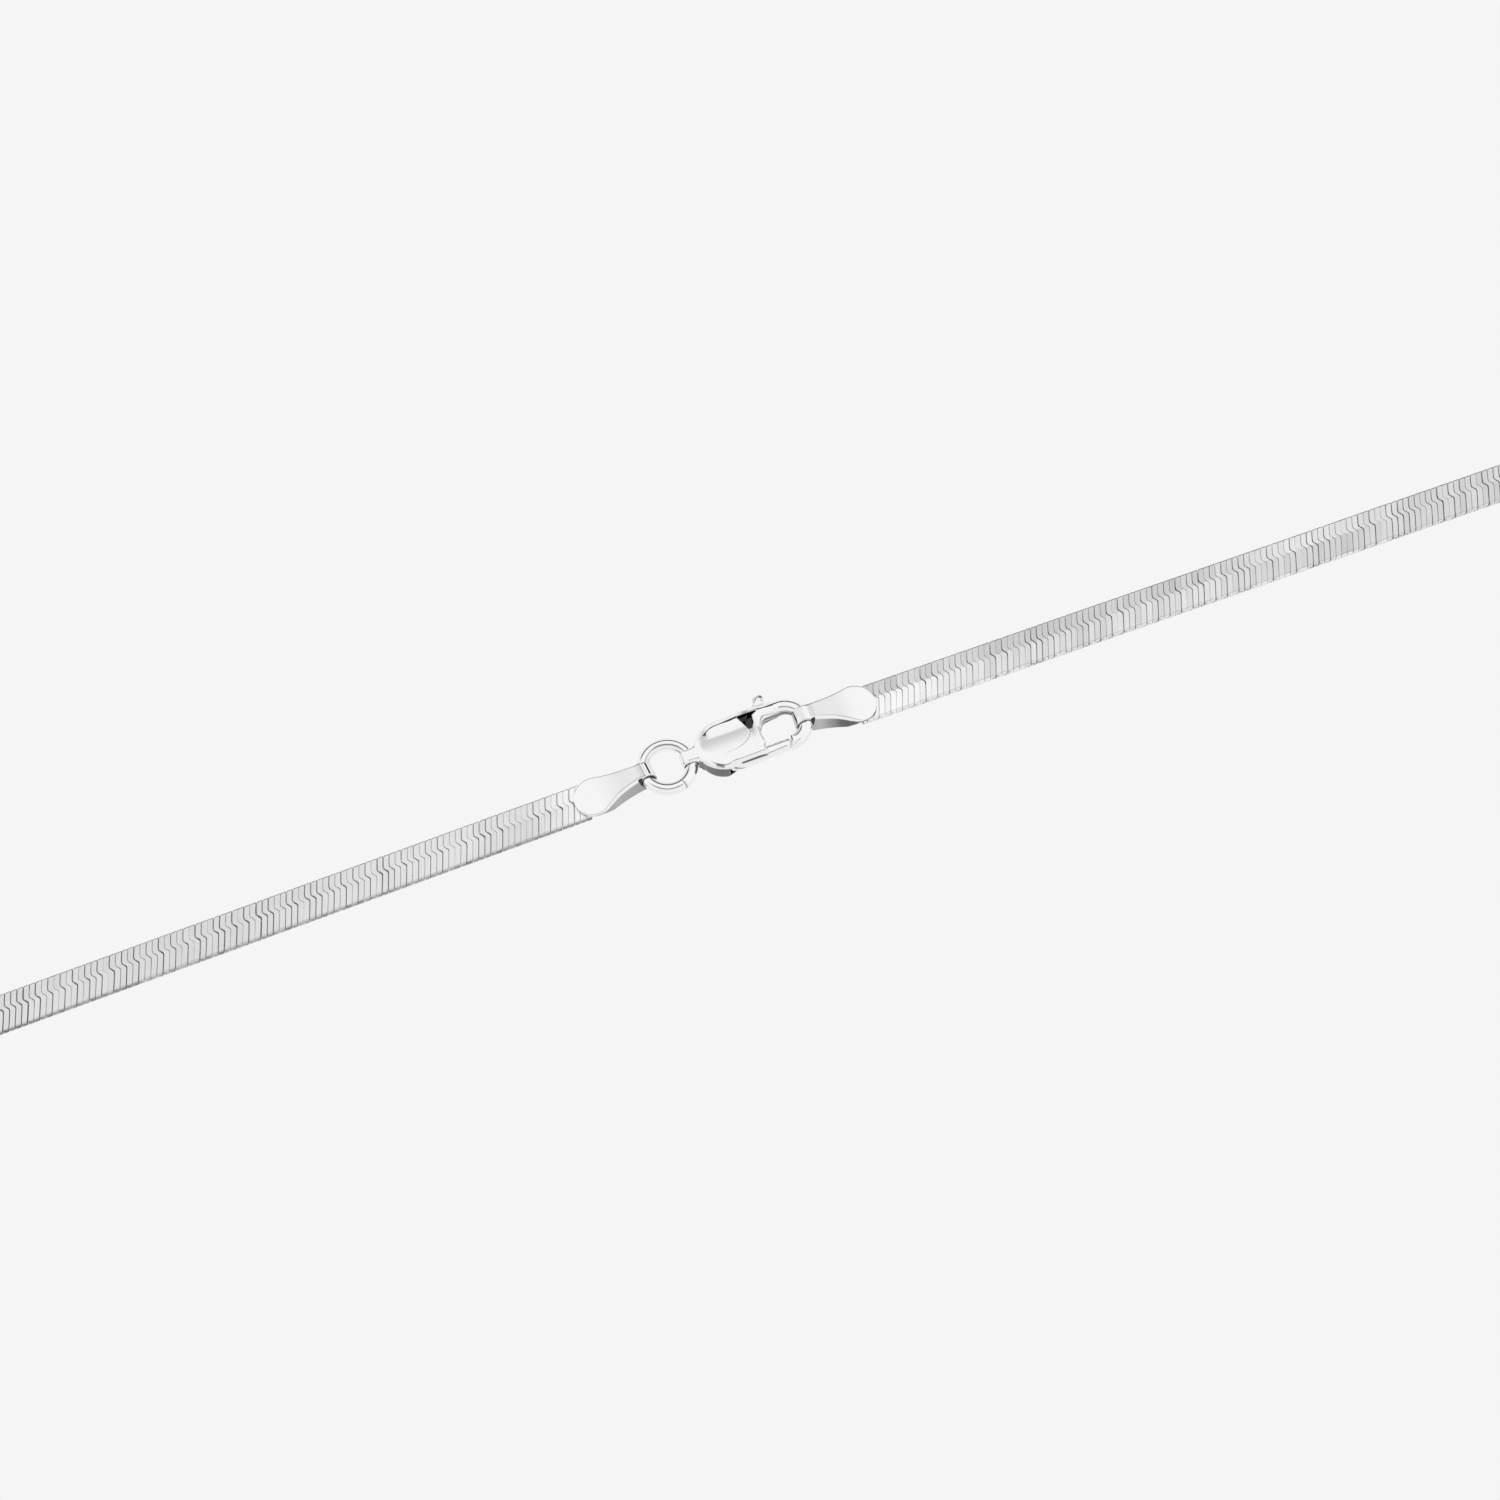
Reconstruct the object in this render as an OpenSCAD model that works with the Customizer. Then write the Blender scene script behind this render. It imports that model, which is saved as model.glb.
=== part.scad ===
// Herringbone necklace, laid flat and closed by a lobster clasp.
// The woven band is one flat ribbon of links. Each of its ends is soldered under a
// folded end cap. One cap holds a jump ring, the other hooks over the clasp's claw.
// X runs along the straight clasp side, Y across it and Z up from the surface.

/* [Necklace] */
// Length along the centre line of the closed necklace, clasp included
necklace_len = 457; // [440:1:520]
// Width of the woven band
band_w = 3.1; // [2.6:0.1:3.6]
// Thickness of the woven band
band_t = 0.75; // [0.6:0.05:0.9]

/* [End caps] */
// Thickness of the plate that the caps are folded from
cap_plate = 0.27; // [0.2:0.01:0.35]
// Distance from the fold's axis to the centre of the cap's round end
cap_len = 4.55; // [4.2:0.05:5.5]
// How far the round end stands out past each edge of the band
cap_overhang = 0.15; // [0.05:0.05:0.4]
// Width of the fold that goes round the ring or the claw
fold_w = 1.75; // [1.4:0.05:1.9]
// Radius of the hollow flare between the fold and the round end
flare_r = 14; // [10:1:18]
// Angle between each cap and the clasp's axis
cap_turn = 3.5; // [2:0.5:5]
// Distance from the round end's middle back to the cap's lowest point
cap_heel = 1.2; // [1:0.1:1.4]
// Height of the cap's lowest point over the surface
cap_foot = 0.1; // [0.05:0.05:0.25]

/* [Jump ring] */
// Outer diameter of the ring
ring_d = 5.07; // [4.8:0.01:5.6]
// Diameter of the ring's wire
ring_wire = 1.05; // [0.9:0.01:1.15]

/* [Clasp body] */
// Distance from the wire in the bail to the middle of the claw's wire
clasp_len = 10.06; // [9.8:0.02:10.8]
// Thickness of the clasp's body
body_t = 2.3; // [2.2:0.05:2.6]
// Radius of the body's round back
body_r = 2.4; // [2.3:0.05:2.6]
// Distance from the bail's axis to the body's back
neck_len = 0.56; // [0.5:0.02:0.7]
// Width of the bail
bail_w = 1.25; // [1.1:0.05:1.4]
// Length of the rise from the neck to the body's full thickness
shoulder_len = 0.7; // [0.5:0.05:1]
// Radius of the rounding along the body's far side
back_r = 1.05; // [0.7:0.05:1.05]
// Radius of the rounding under the body's near side
edge_r = 0.75; // [0.6:0.05:0.9]
// Radius of the small rounding on the near edge of the body's top
rim_r = 0.2; // [0.1:0.05:0.3]
// How far the body's near wall leans in at its top
wall_lean = 0.25; // [0.1:0.05:0.35]
// Radius of the claw, to the middle of its wire
claw_r = 1.7; // [1.65:0.05:1.9]
// Diameter of the claw's wire
claw_wire = 1.16; // [1.05:0.01:1.2]
// Distance from the claw's centre back to the far end of its opening
eye_back = 2.15; // [2.05:0.05:2.25]
// Radius of the opening's back corners
eye_corner_r = 0.6; // [0.4:0.05:0.8]
// Radius of the body's corner beside the gate
lobe_corner_r = 0.5; // [0.3:0.05:0.6]
// How far the body reaches past the opening's back end beside the gate
lobe_reach = 0.15; // [0.05:0.05:0.25]
// Width of the notch over the lever's shank, at the body's far side
notch_w = 2.3; // [2:0.1:2.5]
// Depth of the notch from the body's far side
notch_depth = 2.05; // [1.8:0.05:2.2]
// Depth of the dish in the body's top
dish_depth = 0.12; // [0.05:0.01:0.2]
// Radius of the dish's rim
dish_r = 1.5; // [1.2:0.05:1.7]
// Distance from the middle of the body's round back to the dish's middle
dish_on = 0.35; // [0.2:0.05:0.5]
// Distance from the clasp's axis to the dish's middle, on the far side
dish_off = 0.2; // [0.1:0.05:0.3]

/* [Lever] */
// Thickness of the lever
lever_t = 0.95; // [0.85:0.05:1]
// Gap above and below the lever
lever_gap = 0.05; // [0.03:0.01:0.08]
// Distance from the pin to the tip of the gate
gate_len = 2.87; // [2.75:0.01:2.95]
// Width of the gate
gate_w = 0.8; // [0.7:0.05:0.9]
// Distance from the pin back to the end of the lever's heel
heel_len = 2.55; // [2.3:0.05:2.7]
// Distance from the opening's back end to the pin
pin_back = 0.8; // [0.75:0.05:0.9]
// Distance from the gate's middle line in to the pin
pin_in = 0.7; // [0.6:0.05:0.75]
// Wall round the lever's bore
boss_wall = 0.41; // [0.35:0.01:0.45]
// Diameter of the pin
pin_d = 0.8; // [0.6:0.05:0.9]
// Gap between the pin and the lever's bore
pin_gap = 0.04; // [0.02:0.01:0.08]
// Distance from the knob to the claw's centre, along the clasp
knob_back = 1.22; // [1.1:0.01:1.5]
// Distance from the body's far side out to the knob
knob_out = 0.45; // [0.4:0.05:0.6]
// Radius of the thumb knob
knob_r = 0.5; // [0.4:0.05:0.55]
// Width of the lever's shank under the knob
shank_w = 0.6; // [0.5:0.05:0.7]

/* [Hidden] */
$fn = 96;

// Small gap that every two neighbouring pieces keep
fit_gap = 0.05;
// Overlap that makes a cut pass clean through what it cuts
cut = 1;
// How far the arm stands out all round the claw's wire where the two meet
arm_skin = 0.03;
// Gap round the pin where it is pressed into the body
press_gap = 0.01;
// How far the pin reaches into the upper plate
pin_end = 0.3;

// Heights and positions along the clasp's axis, from the wire in the bail
mid_z = body_t / 2;
ring_r = (ring_d - ring_wire) / 2;
ring_fold_r = ring_wire / 2 + fit_gap + cap_plate;
claw_fold_r = claw_wire / 2 + fit_gap + cap_plate;
cap_end_r = band_w / 2 + cap_overhang;
claw_x = clasp_len - claw_r;
lobe_x = body_r + neck_len;
eye_x = claw_x - eye_back;
arm_half = claw_wire / 2 + arm_skin;
eye_r = claw_r - arm_half;
arm_r = claw_r + arm_half;
slot_t = lever_t + 2 * lever_gap;

// The pin stands on the near side of the clasp's axis, just behind the opening
pin_x = eye_x - pin_back;
pin_y = -claw_r + pin_in;
pin_hole_r = pin_d / 2 + pin_gap;
pin_len = mid_z + slot_t / 2 + pin_end;
boss_r = pin_hole_r + boss_wall;
tip_r = gate_len + fit_gap;

// Angles at the claw's centre between which the claw is round wire
claw_from = -120;
claw_to = 105;

// Places that the lever and its slot share
lobe_corner_x = eye_x + lobe_reach;
heel_x = pin_x - heel_len;
knob_x = claw_x - knob_back;
knob_y = body_r + knob_out;
shank_x = eye_x - fit_gap;
slot_back = pin_x - pin_back - boss_wall;

// The clasp lies beside the line of the two bands, which its caps lean back to
clasp_off = 0.55;
bail_at = [-5.06, clasp_off];
claw_at = bail_at + [clasp_len, 0];
fold_at = bail_at - [2 * ring_r, 0];
left_end = fold_at - cap_len * [cos(cap_turn), sin(cap_turn)];
right_end = claw_at + cap_len * [cos(cap_turn), -sin(cap_turn)];

// Route of the band: it runs straight from each cap and goes round three bends.
// The side bends give x and y of their centre, then their radius. The low bend gives
// x and radius, because its y is worked out from the necklace's length. The lines are
// the y at which the band leaves each cap.
LEFT_BEND = [-66, -24.05, 24];
RIGHT_BEND = [69.5, -18.15, 18];
LOW_BEND = [22, 32];
LINE_LEFT = 0.38;
LINE_RIGHT = 0.24;
// Greatest angle between two points of the band's sides in a bend
BEND_STEP = 3;
// Degrees in a full turn
TURN = 360;
// How often the search for the low bend halves its range
HALVINGS = 40;

function route(low_y) = [
    [right_end[0], LINE_RIGHT, 0],
    RIGHT_BEND,
    [LOW_BEND[0], low_y, LOW_BEND[1]],
    LEFT_BEND,
    [left_end[0], LINE_LEFT, 0]
];

// Straight runs between bends: each touches both rounds on its outer side
function between(a, b) = [b[0] - a[0], b[1] - a[1]];
function run_angle(a, b) =
    atan2(b[1] - a[1], b[0] - a[0]) + acos((a[2] - b[2]) / norm(between(a, b)));
function run_len(a, b) = sqrt(pow(norm(between(a, b)), 2) - pow(a[2] - b[2], 2));
function bend_deg(a, b, c) = (run_angle(a, b) - run_angle(b, c) + 2 * TURN) % TURN;

// Length of the band's centre line
function band_len(p) =
    run_len(p[0], p[1]) + run_len(p[1], p[2]) + run_len(p[2], p[3]) + run_len(p[3], p[4])
    + 2 * PI / TURN * (p[1][2] * bend_deg(p[0], p[1], p[2])
                     + p[2][2] * bend_deg(p[1], p[2], p[3])
                     + p[3][2] * bend_deg(p[2], p[3], p[4]));

// The low bend's y by halving, between a third and a fifteenth of the length below
// the clasp: a lower bend makes a longer band
wanted_len = necklace_len - (right_end[0] - left_end[0]);
function solve_y(low, high, turns) =
    turns == 0 ? (low + high) / 2
    : band_len(route((low + high) / 2)) > wanted_len ? solve_y((low + high) / 2, high, turns - 1)
    : solve_y(low, (low + high) / 2, turns - 1);
low_bend_y = solve_y(-necklace_len / 3, -necklace_len / 15, HALVINGS);
ROUTE = route(low_bend_y);

// The origin is under the middle of the whole necklace
x_low = LEFT_BEND[0] - LEFT_BEND[2] - band_w / 2;
x_high = RIGHT_BEND[0] + RIGHT_BEND[2] + band_w / 2;
y_low = low_bend_y - LOW_BEND[1] - band_w / 2;
y_high = clasp_off + knob_y + knob_r;
centre = [(x_low + x_high) / 2, (y_low + y_high) / 2];

// Point on the round of c at an angle, moved out by grow
function touch(c, angle, grow) = [c[0], c[1]] + (c[2] + grow) * [cos(angle), sin(angle)];

// Points of one side of the band: round the bend b, and then along the whole route
function bend_side(a, b, c, grow) =
    let (turn = bend_deg(a, b, c), steps = ceil(turn / BEND_STEP))
    [for (k = [0 : steps]) touch(b, run_angle(a, b) - turn * k / steps, grow)];
function band_side(p, grow) = [
    touch(p[0], run_angle(p[0], p[1]), grow),
    for (i = [1 : len(p) - 2]) each bend_side(p[i - 1], p[i], p[i + 1], grow),
    touch(p[len(p) - 1], run_angle(p[len(p) - 2], p[len(p) - 1]), grow)
];

// The band: two rows of slanted links pressed flat into one ribbon
module herringbone_chain() {
    outer = band_side(ROUTE, band_w / 2);
    inner = band_side(ROUTE, -band_w / 2);
    color("silver")
        translate([-centre[0], -centre[1], 0])
            linear_extrude(band_t)
                polygon([each outer, for (i = [len(inner) - 1 : -1 : 0]) inner[i]]);
}

// Hollow flare that widens a strip of half width n to a round of radius r at x
module flare(x, r, n, f) {
    start = x - sqrt(pow(r + f, 2) - pow(n + f, 2));
    for (side = [-1, 1])
        scale([1, side])
            difference() {
                polygon([[start, 0], [x, 0], [start, n + f]]);
                translate([start, n + f])
                    circle(r = f);
            }
    translate([-r, -n])
        square([x + r, 2 * n]);
}

// Side view of an end cap, from its fold to its thin round end
module cap_side(fold_r) {
    tip_x = cap_len + cap_end_r;
    under = band_t + fit_gap;
    low = mid_z - fold_r;
    translate([0, mid_z])
        circle(r = fold_r);
    polygon([
        [0, low],
        [cap_len - cap_heel, min(low, cap_foot)],
        [cap_len - fit_gap - band_w / 2 * sin(cap_turn), under],
        [tip_x, under],
        [tip_x, under + cap_plate],
        [cap_len + cap_end_r / 2, under + cap_plate],
        [0, mid_z + fold_r]
    ]);
}

// An end cap along +X from the middle of what its fold goes round
module cap_blank(fold_r) {
    intersection() {
        linear_extrude(mid_z + fold_r)
            union() {
                translate([cap_len, 0])
                    circle(r = cap_end_r);
                intersection() {
                    flare(cap_len, cap_end_r, fold_w / 2, flare_r);
                    translate([-fold_r, -cap_end_r])
                        square([cap_len + fold_r, 2 * cap_end_r]);
                }
            }
        rotate([90, 0, 0])
            linear_extrude(2 * cap_end_r + cut, center = true)
                cap_side(fold_r);
    }
}

// Jump ring at the bail, or the round hole that lets it pass
module ring_round(gap) {
    translate([-ring_r, 0, mid_z])
        rotate_extrude()
            translate([ring_r, 0])
                circle(r = ring_wire / 2 + gap);
}

// Claw's wire, or the round hole that lets it pass
module claw_round(gap) {
    translate([claw_x, 0, mid_z])
        rotate_extrude()
            translate([claw_r, 0])
                circle(r = claw_wire / 2 + gap);
}

// Places a piece drawn from the bail's wire into the necklace
module at_bail() {
    translate([bail_at[0] - centre[0], bail_at[1] - centre[1], 0])
        children();
}

// Cap on the left band, folded round the jump ring
module ring_end_cap() {
    color("gainsboro")
        at_bail()
            difference() {
                translate([-2 * ring_r, 0, 0])
                    rotate(180 + cap_turn)
                        cap_blank(ring_fold_r);
                ring_round(fit_gap);
            }
}

// Cap on the right band, folded round the claw
module clasp_end_cap() {
    color("gainsboro")
        at_bail()
            difference() {
                translate([clasp_len, 0, 0])
                    rotate(-cap_turn)
                        cap_blank(claw_fold_r);
                claw_round(fit_gap);
            }
}

// Closed ring of round wire between the left cap and the clasp's bail
module jump_ring() {
    color("whitesmoke")
        at_bail()
            ring_round(0);
}

// Plan of the clasp's body: bail, round back and far arm, before its openings
module body_plan() {
    lean = acos((body_r - arm_r) / (claw_x - lobe_x));
    flare(lobe_x, body_r, bail_w / 2, bail_w / 2);
    translate([lobe_x, 0])
        circle(r = body_r);
    polygon([
        [lobe_x, 0] + body_r * [cos(lean), sin(lean)],
        [claw_x, 0] + arm_r * [cos(lean), sin(lean)],
        [claw_x, 0] + arm_r * [cos(lean), -sin(lean)],
        [lobe_x, 0] + body_r * [cos(lean), -sin(lean)]
    ]);
}

// Opening that the claw closes round, long and round at both ends
module eye_plan() {
    in_y = eye_r - eye_corner_r;
    translate([claw_x, 0])
        circle(r = eye_r);
    translate([eye_x, -in_y])
        square([eye_back, 2 * in_y]);
    translate([eye_x + eye_corner_r, -eye_r])
        square([eye_back - eye_corner_r, 2 * eye_r]);
    for (y = [-in_y, in_y])
        translate([eye_x + eye_corner_r, y])
            circle(r = eye_corner_r);
}

// Near side that the gate closes, from the body's round corner to the claw
module gate_gap() {
    corner_x = lobe_corner_x - lobe_corner_r;
    corner_y = -body_r + lobe_corner_r;
    difference() {
        translate([corner_x, -body_r - cut])
            square([claw_x - corner_x + cut, body_r + cut]);
        translate([corner_x, corner_y])
            square([lobe_corner_r, body_r]);
        translate([corner_x, corner_y])
            circle(r = lobe_corner_r);
    }
}

// Side view of the clasp's body: bail, full body, and arm thinned down to the claw
module body_side() {
    bail_r = ring_fold_r;
    translate([0, mid_z])
        circle(r = bail_r);
    polygon([
        [0, mid_z - bail_r],
        [neck_len, mid_z - bail_r],
        [neck_len + shoulder_len, 0],
        [eye_x, 0],
        [claw_x, mid_z - arm_half],
        [claw_x, mid_z + arm_half],
        [eye_x, body_t],
        [neck_len + shoulder_len, body_t],
        [neck_len, mid_z + bail_r],
        [0, mid_z + bail_r]
    ]);
}

// End view of the body: a round far side, and a near wall that leans in to a small rim
module body_end() {
    low = [edge_r - body_r, edge_r, edge_r];
    rim = [wall_lean + rim_r - body_r, body_t - rim_r, rim_r];
    wall = run_angle(low, rim);
    polygon([
        [0, 0],
        [low[0], 0],
        touch(low, wall, 0),
        touch(rim, wall, 0),
        [rim[0], body_t],
        [0, body_t]
    ]);
    square([body_r - back_r, body_t]);
    translate([0, back_r])
        square([body_r, body_t - 2 * back_r]);
    for (end = [low, rim, [body_r - back_r, back_r, back_r],
                [body_r - back_r, body_t - back_r, back_r]])
        translate([end[0], end[1]])
            circle(r = end[2]);
}

// Slot between the two plates, as far as the lever reaches when it turns
module slot_plan() {
    far_y = body_r + cut;
    heel_gap = 4 * fit_gap;
    polygon([
        [heel_x - heel_gap, -far_y],
        [heel_x - heel_gap, pin_y + boss_r],
        [slot_back, eye_r / 2],
        [slot_back, far_y],
        [knob_x + knob_r + cut, far_y],
        [knob_x + shank_w / 2, body_r],
        [lobe_corner_x, eye_r - fit_gap],
        [lobe_corner_x + cut, -eye_r / 2],
        [lobe_corner_x + cut, -far_y]
    ]);
}

// Notch in the upper plate, over the lever's shank
module notch_plan() {
    widen = (notch_depth + cut) / notch_depth;
    tip = [eye_x - pin_back, body_r - notch_depth];
    polygon([
        tip,
        tip + widen * [0.6 * notch_w, notch_depth],
        tip + widen * [-0.4 * notch_w, notch_depth]
    ]);
}

// Cast body with its bail, claw and lever slot
module clasp_body() {
    dish_ball = (dish_r * dish_r + dish_depth * dish_depth) / (2 * dish_depth);
    color("whitesmoke")
        at_bail()
            difference() {
                union() {
                    intersection() {
                        linear_extrude(body_t)
                            difference() {
                                body_plan();
                                eye_plan();
                                gate_gap();
                            }
                        rotate([90, 0, 0])
                            linear_extrude(2 * body_r + cut, center = true)
                                body_side();
                        rotate([90, 0, 90])
                            linear_extrude(3 * clasp_len, center = true)
                                body_end();
                    }
                    translate([claw_x, 0, mid_z])
                        rotate(claw_from)
                            rotate_extrude(angle = claw_to - claw_from)
                                translate([claw_r, 0])
                                    circle(r = claw_wire / 2);
                }
                ring_round(fit_gap);
                translate([0, 0, mid_z - claw_wire])
                    linear_extrude(2 * claw_wire)
                        intersection() {
                            translate([pin_x, pin_y])
                                circle(r = tip_r);
                            translate([eye_x + eye_corner_r, -body_r - cut])
                                square([eye_back, body_r + cut]);
                        }
                translate([0, 0, mid_z - slot_t / 2])
                    linear_extrude(slot_t)
                        slot_plan();
                translate([0, 0, mid_z])
                    linear_extrude(body_t)
                        notch_plan();
                translate([pin_x, pin_y, -cut])
                    cylinder(d = pin_d + 2 * press_gap, h = pin_len + press_gap + cut);
                translate([lobe_x + dish_on, dish_off, body_t - dish_depth + dish_ball])
                    sphere(r = dish_ball);
            }
}

// Plan of the lever: gate and heel along the near side, and the shank to the knob
module lever_plan() {
    gate_in = -claw_r + gate_w / 2;
    gate_out = -claw_r - gate_w / 2;
    heel_out = -body_r + fit_gap;
    translate([pin_x, pin_y])
        circle(r = boss_r);
    intersection() {
        translate([pin_x, pin_y])
            circle(r = gate_len);
        polygon([
            [heel_x, gate_in],
            [heel_x, gate_out + fit_gap],
            [pin_x - heel_len / 2, heel_out],
            [pin_x, heel_out],
            [pin_x + gate_len + cut, gate_out],
            [pin_x + gate_len + cut, gate_in]
        ]);
    }
    translate([pin_x - boss_r, -claw_r])
        square([2 * boss_r - 2 * fit_gap, pin_y + claw_r]);
    polygon([
        [pin_x - pin_hole_r, pin_y],
        [shank_x, pin_y],
        [shank_x, eye_r - 2 * fit_gap],
        [knob_x + shank_w / 2, knob_y - shank_w / 2],
        [knob_x - shank_w / 2, knob_y],
        [shank_x - shank_w, eye_r + shank_w],
        [shank_x - 1.5 * shank_w, eye_r]
    ]);
}

// Lever with its gate, bore and thumb knob
module clasp_lever() {
    color("white")
        at_bail()
            difference() {
                union() {
                    translate([0, 0, mid_z - lever_t / 2])
                        linear_extrude(lever_t)
                            lever_plan();
                    translate([knob_x, knob_y, mid_z])
                        sphere(r = knob_r);
                }
                translate([pin_x, pin_y, 0])
                    cylinder(r = pin_hole_r, h = body_t);
            }
}

// Pin pressed in from below, with its top hidden in the upper plate
module lever_pin() {
    color("silver")
        at_bail()
            translate([pin_x, pin_y, 0])
                cylinder(d = pin_d, h = pin_len);
}

herringbone_chain();
ring_end_cap();
clasp_end_cap();
jump_ring();
clasp_body();
clasp_lever();
lever_pin();
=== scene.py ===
import math
import bpy
import numpy as np
from mathutils import Matrix, Vector


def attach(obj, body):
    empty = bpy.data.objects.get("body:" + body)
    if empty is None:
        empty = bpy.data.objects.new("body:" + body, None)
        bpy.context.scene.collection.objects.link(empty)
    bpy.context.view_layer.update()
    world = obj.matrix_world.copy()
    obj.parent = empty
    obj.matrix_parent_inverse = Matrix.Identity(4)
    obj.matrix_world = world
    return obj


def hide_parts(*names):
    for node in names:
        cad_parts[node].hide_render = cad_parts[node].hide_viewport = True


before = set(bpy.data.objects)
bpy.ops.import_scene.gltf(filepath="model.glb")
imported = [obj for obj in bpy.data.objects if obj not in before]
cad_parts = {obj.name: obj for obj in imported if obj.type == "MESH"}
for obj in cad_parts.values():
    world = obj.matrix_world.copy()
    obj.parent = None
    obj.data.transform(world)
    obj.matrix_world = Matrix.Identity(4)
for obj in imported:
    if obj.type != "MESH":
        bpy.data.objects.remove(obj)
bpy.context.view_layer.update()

MM = 0.001

# ---- Camera, table and light -------------------------------------------------------
# The necklace lies on a pale table in a light tent. The camera looks down on the clasp
# from the near side, and the light comes evenly from all round, above a dark gap where
# the tent's wall ends over the table.
CAMERA_AZIMUTH = math.radians(-21.4)
CAMERA_ELEVATION = math.radians(65)
CAMERA_DISTANCE = 0.4
CAMERA_LENS = 116.45
CAMERA_TARGET = Vector((0.00125, 0.0508169, 0))
camera_right = Vector((math.cos(CAMERA_AZIMUTH), math.sin(CAMERA_AZIMUTH), 0))
camera_back = Vector((math.sin(CAMERA_AZIMUTH) * math.cos(CAMERA_ELEVATION),
                      -math.cos(CAMERA_AZIMUTH) * math.cos(CAMERA_ELEVATION),
                      math.sin(CAMERA_ELEVATION)))
camera_data = bpy.data.cameras.new("camera")
camera_data.sensor_width = 36
camera_data.lens = CAMERA_LENS
camera_data.clip_start = 0.01
camera_data.clip_end = 20
camera = bpy.data.objects.new("camera", camera_data)
camera.matrix_world = (Matrix.Translation(CAMERA_TARGET + camera_back * CAMERA_DISTANCE)
                       @ Matrix((camera_right, camera_back.cross(camera_right), camera_back))
                       .transposed().to_4x4())
bpy.context.scene.collection.objects.link(camera)
bpy.context.scene.camera = camera
bpy.context.scene.view_settings.view_transform = "Standard"

PALE = 0.913
TABLE_SIZE = 6
TABLE_Z = -2e-5
# The metal mirrors the table darker close by, where the necklace shades it: how far that
# reaches, and the light there and further off.
SHADE_REACH = 0.0006
SHADE_LIGHT, TABLE_LIGHT = 0.75, 0.90


def add_node(tree, kind, inputs=(), **settings):
    """One shader node with its settings, and its inputs as (socket, value or link) pairs."""
    node = tree.nodes.new(kind)
    for name, value in settings.items():
        setattr(node, name, value)
    for socket, value in inputs:
        if isinstance(value, bpy.types.NodeSocket):
            tree.links.new(value, node.inputs[socket])
        else:
            node.inputs[socket].default_value = value
    return node


def new_tree(name):
    """A material with an empty node tree, and its output node."""
    material = bpy.data.materials.new(name)
    material.use_nodes = True
    material.node_tree.nodes.clear()
    return material, material.node_tree, material.node_tree.nodes.new("ShaderNodeOutputMaterial")


table_mesh = bpy.data.meshes.new("table")
half = TABLE_SIZE / 2
table_mesh.from_pydata([(-half, -half, TABLE_Z), (half, -half, TABLE_Z),
                        (half, half, TABLE_Z), (-half, half, TABLE_Z)], [], [(0, 1, 2, 3)])
table = bpy.data.objects.new("table", table_mesh)
bpy.context.scene.collection.objects.link(table)
table_paint, tree, out = new_tree("pale_table")
path = add_node(tree, "ShaderNodeLightPath")
near = add_node(tree, "ShaderNodeMapRange",
                [("Value", path.outputs["Ray Length"]), ("From Min", 0.0),
                 ("From Max", SHADE_REACH), ("To Min", SHADE_LIGHT), ("To Max", TABLE_LIGHT)],
                interpolation_type="SMOOTHSTEP")
mirrored = add_node(tree, "ShaderNodeEmission", [("Color", near.outputs["Result"])])
seen = add_node(tree, "ShaderNodeEmission", [("Color", (PALE, PALE, PALE, 1))])
mixed = add_node(tree, "ShaderNodeMixShader", [(0, path.outputs["Is Camera Ray"]),
                                              (1, mirrored.outputs[0]), (2, seen.outputs[0])])
tree.links.new(mixed.outputs[0], out.inputs["Surface"])
table_mesh.materials.append(table_paint)

# The tent is white, a little greyer behind the camera, with two dark seams: one low on
# the far side, and one high on the near side. Columns: sine of the height where the
# seam starts and ends, how far towards the far side it fades in, and its light.
SEAMS = [(0.29, 0.67, 0.44, 0.68, 0.04), (0.845, 0.993, 0.0, -0.12, 0.33)]
SEAM_EDGES = 7  # a seam's height over the height of its soft edge
# Where each of these fades starts and ends, and the light before and after it.
BEHIND_CAMERA = (-0.15, -0.6, 0.98, 0.92)
TENT_FOOT = (0.0, 0.35, 0.93, 1.0)
far_side = Vector((-camera_back.x, -camera_back.y, 0)).normalized()
tent = bpy.data.worlds.new("light_tent")
bpy.context.scene.world = tent
tent.use_nodes = True
tree = tent.node_tree
tree.nodes.clear()
out = tree.nodes.new("ShaderNodeOutputWorld")
way = add_node(tree, "ShaderNodeTexCoord").outputs["Generated"]
height = add_node(tree, "ShaderNodeSeparateXYZ", [(0, way)]).outputs["Z"]
outward = add_node(tree, "ShaderNodeVectorMath", [(0, way), (1, far_side)],
                   operation="DOT_PRODUCT").outputs["Value"]


def fade(value, start, end, to_min=0.0, to_max=1.0):
    """A smooth change from to_min to to_max while the value goes from start to end."""
    return add_node(tree, "ShaderNodeMapRange",
                    [("Value", value), ("From Min", start), ("From Max", end), ("To Min", to_min),
                     ("To Max", to_max)], interpolation_type="SMOOTHSTEP").outputs["Result"]


def times(a, b):
    """The product of two values."""
    return add_node(tree, "ShaderNodeMath", [(0, a), (1, b)], operation="MULTIPLY").outputs[0]


light = times(fade(outward, *BEHIND_CAMERA), fade(height, *TENT_FOOT))
for low, high, start, end, left_over in SEAMS:
    soft = (high - low) / SEAM_EDGES
    seam = times(fade(height, low, low + soft), fade(height, high, high - soft))
    seam = times(seam, fade(outward, start, end))
    light = times(light, fade(seam, 0, 1, 1.0, left_over))
path = add_node(tree, "ShaderNodeLightPath")
shown = add_node(tree, "ShaderNodeMix", [(0, path.outputs["Is Camera Ray"]), (6, light),
                                         (7, (PALE, PALE, PALE, 1))], data_type="RGBA")
glow = add_node(tree, "ShaderNodeBackground", [("Color", shown.outputs[2])])
tree.links.new(glow.outputs[0], out.inputs["Surface"])

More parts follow.
